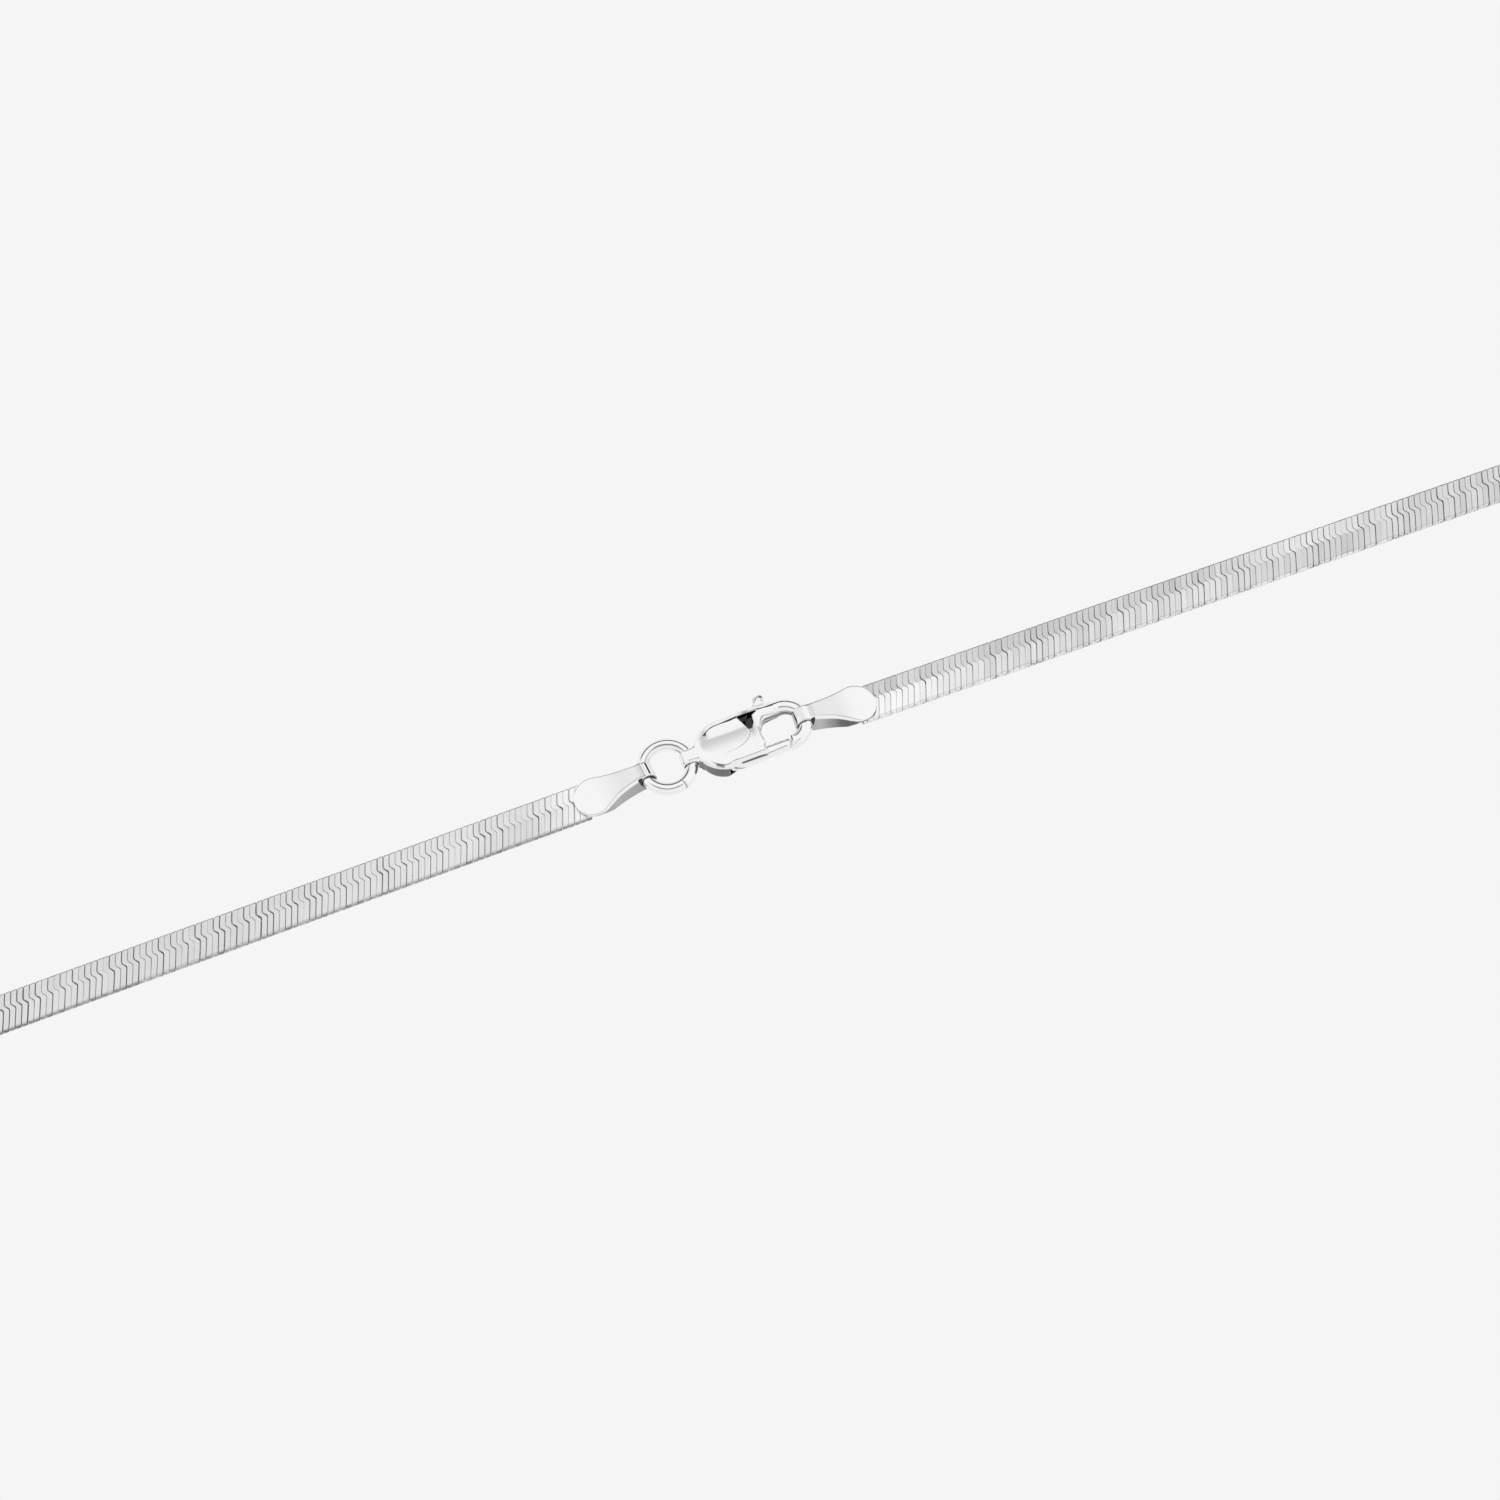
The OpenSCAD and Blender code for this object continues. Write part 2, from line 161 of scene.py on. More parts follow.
# ---- Herringbone links ----------------------------------------------------------------
# The band is two rows of slanted links of flat silver wire, woven into each other and
# rolled flat into one ribbon. Each link crosses the band in two slanted strokes with a
# small step at the middle, and is free at both edges.
BAND_W = 3.1
BAND_T = 0.75
NECKLACE_LEN = 457
PITCH = 0.522
RING_R = 2.01
CAP_LEN = 4.55
CAP_TURN = math.radians(3.5)
CLASP_LEN = 10.06
CLASP_OFF = 0.55
# Places on the table are in mm from where the camera looks, with x along the clasp.
BAIL_AT = np.array([-5.06, CLASP_OFF])
CLAW_AT = BAIL_AT + [CLASP_LEN, 0]
FOLD_AT = BAIL_AT - [2 * RING_R, 0]
LEFT_END = FOLD_AT - CAP_LEN * np.array([math.cos(CAP_TURN), math.sin(CAP_TURN)])
RIGHT_END = CLAW_AT + CAP_LEN * np.array([math.cos(CAP_TURN), -math.sin(CAP_TURN)])
# Columns: x, y and radius of each bend; the low bend's y follows from the length.
RIGHT_BEND = (69.5, -18.15, 18)
LOW_BEND = (22, None, 32)
LEFT_BEND = (-66, -24.05, 24)
# The y of the band's centre line at each cap, and of the knob's far side, which reaches
# further than any other piece.
LINE_RIGHT, LINE_LEFT = 0.24, 0.38
KNOB_TOP = 3.9


def run_angle(a, b):
    """Direction from a bend's centre to where the run from a to b touches it."""
    return (math.atan2(b[1] - a[1], b[0] - a[0])
            + math.acos((a[2] - b[2]) / math.hypot(b[0] - a[0], b[1] - a[1])))


def route_legs(low_y):
    """Straights and bends of the centre line: start, length, x, y, angle and radius."""
    stops = [(RIGHT_END[0], LINE_RIGHT, 0), RIGHT_BEND, (LOW_BEND[0], low_y, LOW_BEND[2]),
             LEFT_BEND, (LEFT_END[0], LINE_LEFT, 0)]
    legs, along = [], 0.0
    for i, (a, b) in enumerate(zip(stops, stops[1:])):
        angle = run_angle(a, b)
        run = math.sqrt((b[0] - a[0]) ** 2 + (b[1] - a[1]) ** 2 - (a[2] - b[2]) ** 2)
        legs.append((along, run, a[0] + a[2] * math.cos(angle), a[1] + a[2] * math.sin(angle),
                     angle, 0))
        along += run
        if i < len(stops) - 2:
            bend = b[2] * ((angle - run_angle(b, stops[i + 2])) % (2 * math.pi))
            legs.append((along, bend, b[0], b[1], angle, b[2]))
            along += bend
    return np.array(legs), along


band_len = NECKLACE_LEN - (RIGHT_END[0] - LEFT_END[0])
# The low bend is moved in halving steps until the loop has its length.
HALVINGS = 40
low, high = -NECKLACE_LEN / 3, -NECKLACE_LEN / 15
for _ in range(HALVINGS):
    middle = (low + high) / 2
    if route_legs(middle)[1] > band_len:
        low = middle
    else:
        high = middle
LEGS, band_len = route_legs(middle)
CENTRE = np.array([(LEFT_BEND[0] - LEFT_BEND[2] + RIGHT_BEND[0] + RIGHT_BEND[2]) / 2,
                   (middle - LOW_BEND[2] - BAND_W / 2 + KNOB_TOP) / 2])


def on_band(along, out_by):
    """Place in the necklace of points along the centre line and out from it."""
    leg = LEGS[np.clip(np.searchsorted(LEGS[:, 0], along, side="right") - 1, 0, len(LEGS) - 1)]
    start, x, y, angle, radius = (leg[..., i] for i in (0, 2, 3, 4, 5))
    straight = radius == 0
    run = along - start
    angle = angle - np.where(straight, 0, run / np.where(straight, 1, radius))
    reach = radius + out_by
    run = np.where(straight, run, 0)
    return (x + reach * np.cos(angle) + run * np.sin(angle),
            y + reach * np.sin(angle) - run * np.cos(angle))


# Columns: distance in from the outer edge, the seam's shift along the band, how far the
# link is drawn in at its sides, and how far its top and bottom are rounded off there.
STATIONS = np.array([
    (0.00, 0.00, 0.045, 0.09), (0.035, -0.012, 0.012, 0.022), (0.07, -0.025, 0, 0),
    (0.20, -0.08, 0, 0), (0.55, -0.215, 0, 0), (0.84, -0.325, 0, 0.001),
    (1.05, -0.37, 0, 0.004), (1.18, -0.36, 0, 0.010), (1.30, -0.26, 0, 0.020),
    (1.42, -0.15, 0, 0.020), (1.50, -0.11, 0, 0.012), (1.64, -0.13, 0, 0.003),
    (2.25, -0.36, 0, 0), (2.88, -0.607, 0, 0), (3.035, -0.668, 0, 0),
    (3.068, -0.68, 0.012, 0.022), (3.10, -0.693, 0.045, 0.09)])
# Columns: side of the link, inset from the seam, top or bottom, and depth from it.
SECTION = [(0, 0.000, 1, 0.10), (0, 0.014, 1, 0.035), (0, 0.05, 1, 0.006), (0, 0.12, 1, 0.0),
           (1, 0.12, 1, 0.0), (1, 0.05, 1, 0.006), (1, 0.014, 1, 0.035), (1, 0.000, 1, 0.10),
           (1, 0.000, 0, 0.06), (1, 0.05, 0, 0.0), (0, 0.05, 0, 0.0), (0, 0.000, 0, 0.06)]
SEAM_GAP = 0.012
OPEN_GAP = 0.022  # what a wholly open seam adds to the gap
OUT_OF_TURN = 0.16  # share of the seams that are open or shut against the turn
# How open the two kinds of seam are, from 0 to 1. Beside a shut seam a link has a small
# bevel and is drawn in a little at its ends; an open seam adds the second value of each.
STANDS_OPEN, ROLLED_SHUT = (0.55, 1.0), (0.05, 0.25)
BEVEL_SHUT, BEVEL_OPEN = 0.25, 0.85
DRAW_SHUT, DRAW_OPEN = 0.4, 0.7
# How far a link may lie out of place: along the band, turned, and rolled to one side as a
# whole and by row, where the rows part at ROWS_SPLIT.
LINK_SLIP, LINK_TURN = 0.012, 0.02
ROWS_SPLIT = 1.5
LINK_ROLL, ROW_ROLL = 0.006, 0.003
# How far the top falls to its two edges, and how much that changes along the band.
FAR_FALL, NEAR_FALL = 0.034, 0.030
FALL_WAVE, FALL_JITTER = 0.026, 0.006
TOP_CLEAR = 0.010
# Distance along the band, and how uneven and how sharply bevelled the links are there.
ALONG, LIVELY, SHARP = (0, 60, 120), (1.0, 0.8, 0.3), (0.55, 0.6, 1.0)
# Where one row's painted reflection gives way to the other's, and how much the links' brightness
# varies at random. Away from the clasp, past DULL_PAST, some links have a duller end: those whose
# random number is under DULL_UNDER.
ROWS_MEET = 1.42
CLOUDY = 0.05
DULL_END, DULL_UNDER, DULL_PAST = 0.65, -0.5, 100
# Painted highlight: how much brighter the link ends at the inner edge are underneath.
UNDER_PAINTED_LIGHT = 0.35
# Inset from the seam, and how dark the link is there; then the least shade and what an
# open seam adds.
SEAM_DARK = ((0, 0.014, 0.05), (0.85, 0.5, 0))
SHUT_SHADE, OPEN_SHADE = 0.15, 0.8
# Columns: distance from the right cap, and the brightness of the painted reflection on the outer
# row, on the inner row and on the links' ends along the inner edge.
ROW_TONES = np.array([
    (0, 0.58, 1.05, 1.05), (2, 0.60, 1.05, 1.05), (4.6, 0.70, 0.99, 1.05),
    (9, 0.70, 0.86, 1.05), (14.8, 0.68, 0.76, 1.02), (28, 0.66, 0.80, 1.02),
    (41, 0.85, 0.73, 1.02), (53.8, 0.72, 0.72, 1.0), (80, 0.78, 0.72, 0.9),
    (120, 0.70, 0.78, 0.7), (200, 0.76, 0.74, 0.9), (300, 0.72, 0.78, 0.7),
    (360, 0.76, 0.72, 0.55), (379, 0.75, 0.80, 0.42), (387, 0.77, 0.80, 0.46),
    (396.5, 0.74, 0.75, 0.64), (409.8, 0.77, 0.79, 0.58), (423, 0.83, 0.84, 0.50),
    (427.5, 0.79, 0.74, 0.44), (429.5, 0.83, 0.77, 0.42), (431, 0.93, 0.87, 0.42),
    (434, 1.04, 1.02, 0.44)])


def slow_wave(along, seed, lengths=(61, 27, 13)):
    """Gentle change along the band, from -1 to 1."""
    phases = np.random.default_rng(seed).uniform(0, 2 * math.pi, len(lengths))
    return sum(np.sin(2 * math.pi * along / length + phase)
               for length, phase in zip(lengths, phases)) / len(lengths)


def link_row(first, last, link_count):
    """Points, faces and brightness of the links from first to last."""
    pick = np.random.default_rng(41)
    jitter = pick.uniform(-1, 1, (link_count, 8))[first:last]
    n, stations, ring = last - first, len(STATIONS), len(SECTION)
    along = (np.arange(first, last) + 0.5) * band_len / link_count
    pitch = band_len / link_count
    deep, shift, draw_in, round_off = STATIONS.T
    side, inset, upper, depth = np.array(SECTION).T
    side = side.astype(int)
    # Every second seam, more or less, stands open; the others are rolled shut.
    seams = link_count + 1
    its_turn = (np.arange(seams) % 2 == 0) ^ (pick.random(seams) < OUT_OF_TURN)
    stands_open = pick.uniform(*STANDS_OPEN, seams)
    rolled_shut = pick.uniform(*ROLLED_SHUT, seams)
    open_seam = np.where(its_turn, stands_open, rolled_shut)
    beside = np.stack([open_seam[first:last], open_seam[first + 1:last + 1]], -1)[:, side]
    lively = np.interp(along, ALONG, LIVELY)
    sharp = np.interp(along, ALONG, SHARP)
    half_w = pitch / 2 - (SEAM_GAP + OPEN_GAP * beside) / 2
    bevel = BEVEL_SHUT + BEVEL_OPEN * beside * sharp[:, None]
    hand = (2 * side - 1)[None, None, :]
    u = (hand * (half_w[:, None, :] - draw_in[None, :, None]
                 * (DRAW_SHUT + DRAW_OPEN * beside[:, None, :]))
         - hand * inset[None, None, :] * bevel[:, None, :]
         + shift[None, :, None] + LINK_SLIP * jitter[:, 2, None, None]
         + LINK_TURN * jitter[:, 3, None, None] * (deep / BAND_W - 0.5)[None, :, None])
    edge_far = FAR_FALL + FALL_WAVE * slow_wave(along, 1) + FALL_JITTER * jitter[:, 4]
    edge_near = NEAR_FALL + FALL_WAVE * slow_wave(along, 2) + FALL_JITTER * jitter[:, 5]
    fall = np.where(deep[None, :] < BAND_W / 2,
                    edge_far[:, None] * (1 - deep[None, :] / (BAND_W / 2)),
                    edge_near[:, None] * (deep[None, :] / (BAND_W / 2) - 1))
    roll = ((LINK_ROLL * jitter[:, 6, None]
             + ROW_ROLL * jitter[:, 7, None] * np.sign(deep - ROWS_SPLIT)[None, :])
            * lively[:, None])
    top = BAND_T - TOP_CLEAR - np.maximum(fall, 0) - round_off[None, :]
    z = (upper[None, None, :] * (top[:, :, None] - depth[None, None, :] * bevel[:, None, :]
                                 + roll[:, :, None] * hand)
         + (1 - upper)[None, None, :] * (round_off[None, :, None] + depth[None, None, :]))
    x, y = on_band(np.clip(along[:, None, None] + u, 0, band_len),
                   np.broadcast_to(BAND_W / 2 - deep[None, :, None], u.shape))
    points = np.stack([x - CENTRE[0], y - CENTRE[1], z], -1).reshape(-1, 3) * MM
    base = (np.arange(n) * stations * ring)[:, None]
    faces = []
    for s in range(stations - 1):
        for k in range(ring):
            m = (k + 1) % ring
            faces.append(base + np.array([[s * ring + k, (s + 1) * ring + k,
                                           (s + 1) * ring + m, s * ring + m]]))
    faces = np.concatenate(faces).tolist()
    faces += (base + np.arange(ring)[None, :]).tolist()
    faces += (base + (stations - 1) * ring + np.arange(ring)[None, ::-1]).tolist()
    # Painted reflection on each row and on the link ends, varied at random, with a painted
    # highlight under the ends at the inner edge.
    outer, inner, ends = (np.interp(along, ROW_TONES[:, 0], ROW_TONES[:, i]) for i in (1, 2, 3))
    outer = (outer + CLOUDY * lively * slow_wave(along, 5, (17, 7.3, 3.1))
             + CLOUDY * lively * jitter[:, 6])
    inner = (inner + CLOUDY * lively * slow_wave(along, 6, (19, 8.1, 2.7))
             + CLOUDY * lively * jitter[:, 7])
    ends = ends * np.where((jitter[:, 5] < DULL_UNDER) & (along > DULL_PAST), DULL_END, 1.0)
    tone = np.where(deep[None, :] < ROWS_MEET, outer[:, None], inner[:, None])
    tone = np.repeat(tone[:, :, None], ring, 2)
    tone[:, -1] = ends[:, None] * (1.0 + UNDER_PAINTED_LIGHT * (1 - upper)[None, :])
    tone[:, 0] = ends[:, None]
    seam_shade = (1 - np.interp(inset, *SEAM_DARK)[None, :]
                  * (SHUT_SHADE + OPEN_SHADE * beside))
    return points, faces, (tone * seam_shade[:, None, :]).reshape(-1)


def make_mesh(name, points, faces, smooth_under=None):
    """A shaded mesh object from points in metres."""
    mesh = bpy.data.meshes.new(name)
    mesh.from_pydata(points.tolist(), [], faces)
    mesh.update()
    mesh.shade_smooth()
    if smooth_under:
        mesh.set_sharp_from_angle(angle=math.radians(smooth_under))
    piece = bpy.data.objects.new(name, mesh)
    bpy.context.scene.collection.objects.link(piece)
    return piece


def set_polish_and_painted_light(piece, tone):
    """Stores the brightness at each point of the piece: painted shade and painted highlight, with
    some real tone.
    """
    polish_and_painted_light = piece.data.attributes.new("polish_and_painted_light", "FLOAT", "POINT")
    polish_and_painted_light.data.foreach_set("value", tone.astype(np.float32))


# Sizes of the cloudy patches and of the fine grain, the haze of a patch, and the grain's depth.
CLOUD_SCALE, GRAIN_SCALE = 900, 5200
CLOUD_HAZE = 0.06
GRAIN_DEPTH = 0.00002


def polish_group():
    """Polished silver: its colour, its roughness and its fine wear, from a few numbers."""
    group = bpy.data.node_groups.new("silver_polish", "ShaderNodeTree")
    for name, kind, value in (("Tint", "NodeSocketColor", (0.93, 0.93, 0.93, 1)),
                              ("Cloud", "NodeSocketFloat", 0.05),
                              ("Smoothness", "NodeSocketFloat", 0.12),
                              ("Wear", "NodeSocketFloat", 0.1),
                              ("Feature size", "NodeSocketFloat", 1.0)):
        group.interface.new_socket(name, in_out="INPUT", socket_type=kind).default_value = value
    for name, kind in (("Colour", "NodeSocketColor"), ("Roughness", "NodeSocketFloat"),
                       ("Normal", "NodeSocketVector")):
        group.interface.new_socket(name, in_out="OUTPUT", socket_type=kind)
    given = group.nodes.new("NodeGroupInput")
    result = group.nodes.new("NodeGroupOutput")
    place = add_node(group, "ShaderNodeTexCoord").outputs["Object"]
    sized = add_node(group, "ShaderNodeVectorMath",
                     [(0, place), ("Scale", given.outputs["Feature size"])], operation="SCALE")
    cloud = add_node(group, "ShaderNodeTexNoise",
                     [("Vector", sized.outputs[0]), ("Scale", CLOUD_SCALE), ("Detail", 3)])
    darker = add_node(group, "ShaderNodeMath",
                      [(0, cloud.outputs["Fac"]), (1, given.outputs["Cloud"])],
                      operation="MULTIPLY")
    keep = add_node(group, "ShaderNodeMath", [(0, 1.0), (1, darker.outputs[0])],
                    operation="SUBTRACT")
    colour = add_node(group, "ShaderNodeVectorMath",
                      [(0, given.outputs["Tint"]), ("Scale", keep.outputs[0])], operation="SCALE")
    grain = add_node(group, "ShaderNodeTexNoise",
                     [("Vector", sized.outputs[0]), ("Scale", GRAIN_SCALE), ("Detail", 4)])
    haze = add_node(group, "ShaderNodeMath",
                    [(0, cloud.outputs["Fac"]), (1, CLOUD_HAZE), (2, given.outputs["Smoothness"])],
                    operation="MULTIPLY_ADD")
    bump = add_node(group, "ShaderNodeBump",
                    [("Height", grain.outputs["Fac"]), ("Distance", GRAIN_DEPTH),
                     ("Strength", given.outputs["Wear"])])
    for socket, value in (("Colour", colour.outputs[0]), ("Roughness", haze.outputs[0]),
                          ("Normal", bump.outputs[0])):
        group.links.new(value, result.inputs[socket])
    return group


silver_polish = polish_group()


def silver_metal(name, tint=0.95, cloud=0.04, smoothness=0.03, wear=0.05, tone_name="polish_and_painted_light"):
    """Polished silver; tone_name is the brightness that its pieces carry, painted shade and painted
    highlight with some real tone.
    """
    metal, tree, out = new_tree(name)
    polish_and_painted_light = add_node(tree, "ShaderNodeGroup", node_tree=silver_polish)
    for socket, value in (("Tint", (tint, tint, tint * 0.995, 1)), ("Cloud", cloud),
                          ("Smoothness", smoothness), ("Wear", wear)):
        polish_and_painted_light.inputs[socket].default_value = value
    colour = polish_and_painted_light.outputs["Colour"]
    if tone_name:
        tone = add_node(tree, "ShaderNodeAttribute", attribute_name=tone_name)
        colour = add_node(tree, "ShaderNodeVectorMath",
                          [(0, colour), ("Scale", tone.outputs["Fac"])],
                          operation="SCALE").outputs[0]
    surface = add_node(tree, "ShaderNodeBsdfPrincipled",
                       [("Base Color", colour), ("Roughness", polish_and_painted_light.outputs["Roughness"]),
                        ("Normal", polish_and_painted_light.outputs["Normal"]), ("Metallic", 1.0)])
    tree.links.new(surface.outputs[0], out.inputs["Surface"])
    return metal


link_silver = silver_metal("rolled_silver_links", tint=1.0, cloud=0.10, smoothness=0.16, wear=0.35)
link_count = round(band_len / PITCH)
for name, first, last in (("links_right", 0, link_count // 2),
                          ("links_left", link_count // 2, link_count)):
    points, faces, tone = link_row(first, last, link_count)
    links = make_mesh(name, points, faces, smooth_under=40)
    set_polish_and_painted_light(links, tone)
    links.data.materials.append(link_silver)
    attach(links, "necklace")
    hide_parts("herringbone_chain")

# ---- End caps -------------------------------------------------------------------------
# Each cap is one plate of sheet silver: a round end soldered over the band, a neck that
# narrows in a hollow curve, and a tongue folded round the jump ring or the claw. It is
# polished on top, and its edge is rounded by tumbling.
BODY_T = 2.3
MID = BODY_T / 2  # height of the plane that clasp, ring and folds share
CAP_PLATE = 0.27
CAP_END_R = 1.7
FOLD_HALF = 0.875
FLARE_R = 14.0
CAP_HEEL = 1.2
CAP_FOOT = 0.1
FIT_GAP = 0.05
RING_WIRE = 1.05
CLAW_R = 1.7
CLAW_WIRE = 1.16
SOFT_CUT = 0.05
# The near side leans in towards its top. Each long edge has a chamfer, and the near one
# narrows towards the tip. Edges are rounder at the fold than along the plate.
LEAN_IN = 0.36
NEAR_CHAMFER, TIP_LESS, FAR_CHAMFER = 0.2, 0.14, 0.11
FOLD_EDGE_R, PLATE_LESS = 0.22, 0.13
# The painted shadow in the near wall beside the fold: its place, half width, foot and top.
FOLD_SHADOW_X, FOLD_SHADOW_HALF, FOLD_SHADOW_FOOT, FOLD_SHADOW_TOP = 0.60, 0.2, 0.95, 1.86


def rounded(side, face, radius):
    """Inside both side and face, with the edge between them rounded."""
    a, b = side + radius, face + radius
    return np.minimum(np.maximum(a, b), 0) + np.hypot(np.maximum(a, 0), np.maximum(b, 0)) - radius


def joined(a, b, fillet):
    """Both shapes, with a fillet where they meet."""
    h = np.clip(0.5 + 0.5 * (b - a) / fillet, 0, 1)
    return b * (1 - h) + a * h - fillet * h * (1 - h)


def step(x, start, end):
    """From 0 to 1 between start and end, without a corner."""
    t = np.clip((x - start) / (end - start), 0, 1)
    return t * t * (3 - 2 * t)


def cut_from(a, b, softness):
    """The first shape less the second, with a soft edge."""
    return -joined(-a, b, softness)


def outline(x, y, corners):
    """Distance to a closed outline, negative inside it."""
    corners = np.asarray(corners, float)
    best = np.full(x.shape, 1e9)
    within = np.zeros(x.shape, bool)
    for (ax, ay), (bx, by) in zip(corners, np.roll(corners, -1, 0)):
        ex, ey = bx - ax, by - ay
        t = np.clip(((x - ax) * ex + (y - ay) * ey) / (ex * ex + ey * ey), 0, 1)
        best = np.minimum(best, np.hypot(x - ax - t * ex, y - ay - t * ey))
        crosses = (ay > y) != (by > y)
        with np.errstate(divide="ignore", invalid="ignore"):
            within ^= crosses & (x < ax + (y - ay) * ex / (ey if ey else 1e-12))
    return np.where(within, -best, best)


def cast_metal(name, shape, painted_light, low, high, cell, turn=0.0, shift=(0.0, 0.0)):
    """A smooth closed mesh of the surface where shape is zero, in the necklace's place.

    The third argument gives the brightness of painted shade and painted highlight from a point and
    the surface's direction.
    """
    rounds, probe, longest_move, least_slope = 3, 0.3, 0.4, 0.25
    low, high = np.array(low, float), np.array(high, float)
    count = np.ceil((high - low) / cell).astype(int) + 1
    axes = [low[i] + cell * np.arange(count[i]) for i in range(3)]
    depth = np.empty(count)
    for i, x in enumerate(axes[0]):
        y, z = np.meshgrid(axes[1], axes[2], indexing="ij")
        depth[i] = shape(np.full(y.shape, x), y, z)
    inside = depth < 0
    cells = tuple(count - 1)
    total = np.zeros(cells, int)
    for corner in np.ndindex(2, 2, 2):
        total += inside[tuple(slice(c, c + n) for c, n in zip(corner, cells))]
    active = (total > 0) & (total < 8)
    number = np.full(cells, -1)
    number[active] = np.arange(active.sum())
    at = np.argwhere(active)
    place, weight = np.zeros((len(at), 3)), np.zeros(len(at))
    for axis in range(3):
        for offset in np.ndindex(2, 2):
            start = np.insert(np.array(offset), axis, 0)
            end = start.copy()
            end[axis] = 1
            d0 = depth[tuple((at + start).T)]
            d1 = depth[tuple((at + end).T)]
            crossed = (d0 < 0) != (d1 < 0)
            t = np.where(crossed, d0 / np.where(crossed, d0 - d1, 1), 0)
            place += crossed[:, None] * (start + (end - start) * t[:, None])
            weight += crossed
    points = low + cell * (at + place / weight[:, None])
    # The points are pulled onto the surface along its slope, a small part of a cell at a time.
    for _ in range(rounds):
        here = shape(*points.T)
        slope = np.stack([shape(*(points + cell * probe * e).T)
                          - shape(*(points - cell * probe * e).T)
                          for e in np.eye(3)], -1) / (2 * probe * cell)
        size = np.maximum((slope ** 2).sum(-1), least_slope)
        points -= np.clip(here / size, -longest_move * cell, longest_move * cell)[:, None] * slope
    faces = []
    for axis in range(3):
        b, c = [i for i in range(3) if i != axis]
        first = [slice(None)] * 3
        second = [slice(None)] * 3
        first[axis], second[axis] = slice(0, -1), slice(1, None)
        a0, a1 = inside[tuple(first)], inside[tuple(second)]
        edge = np.argwhere(a0 != a1)
        edge = edge[(edge[:, b] > 0) & (edge[:, c] > 0)
                    & (edge[:, b] < cells[b]) & (edge[:, c] < cells[c])]
        quad = []
        for db, dc in ((-1, -1), (0, -1), (0, 0), (-1, 0)):
            at_cell = edge.copy()
            at_cell[:, b] += db
            at_cell[:, c] += dc
            quad.append(number[tuple(at_cell.T)])
        quad = np.stack(quad, -1)
        outward = a0[tuple(edge.T)]
        if axis == 1:
            outward = ~outward
        quad[~outward] = quad[~outward][:, ::-1]
        faces.append(quad)
    faces = np.concatenate(faces).tolist()
    x, y, z = points.T
    polish_and_painted_light = painted_light(x, y, z, *(slope / np.linalg.norm(slope, axis=1)[:, None]).T)
    points = np.stack([x * math.cos(turn) - y * math.sin(turn) + shift[0] - CENTRE[0],
                       x * math.sin(turn) + y * math.cos(turn) + shift[1] - CENTRE[1], z], -1)
    piece = make_mesh(name, points * MM, faces)
    set_polish_and_painted_light(piece, polish_and_painted_light)
    return piece


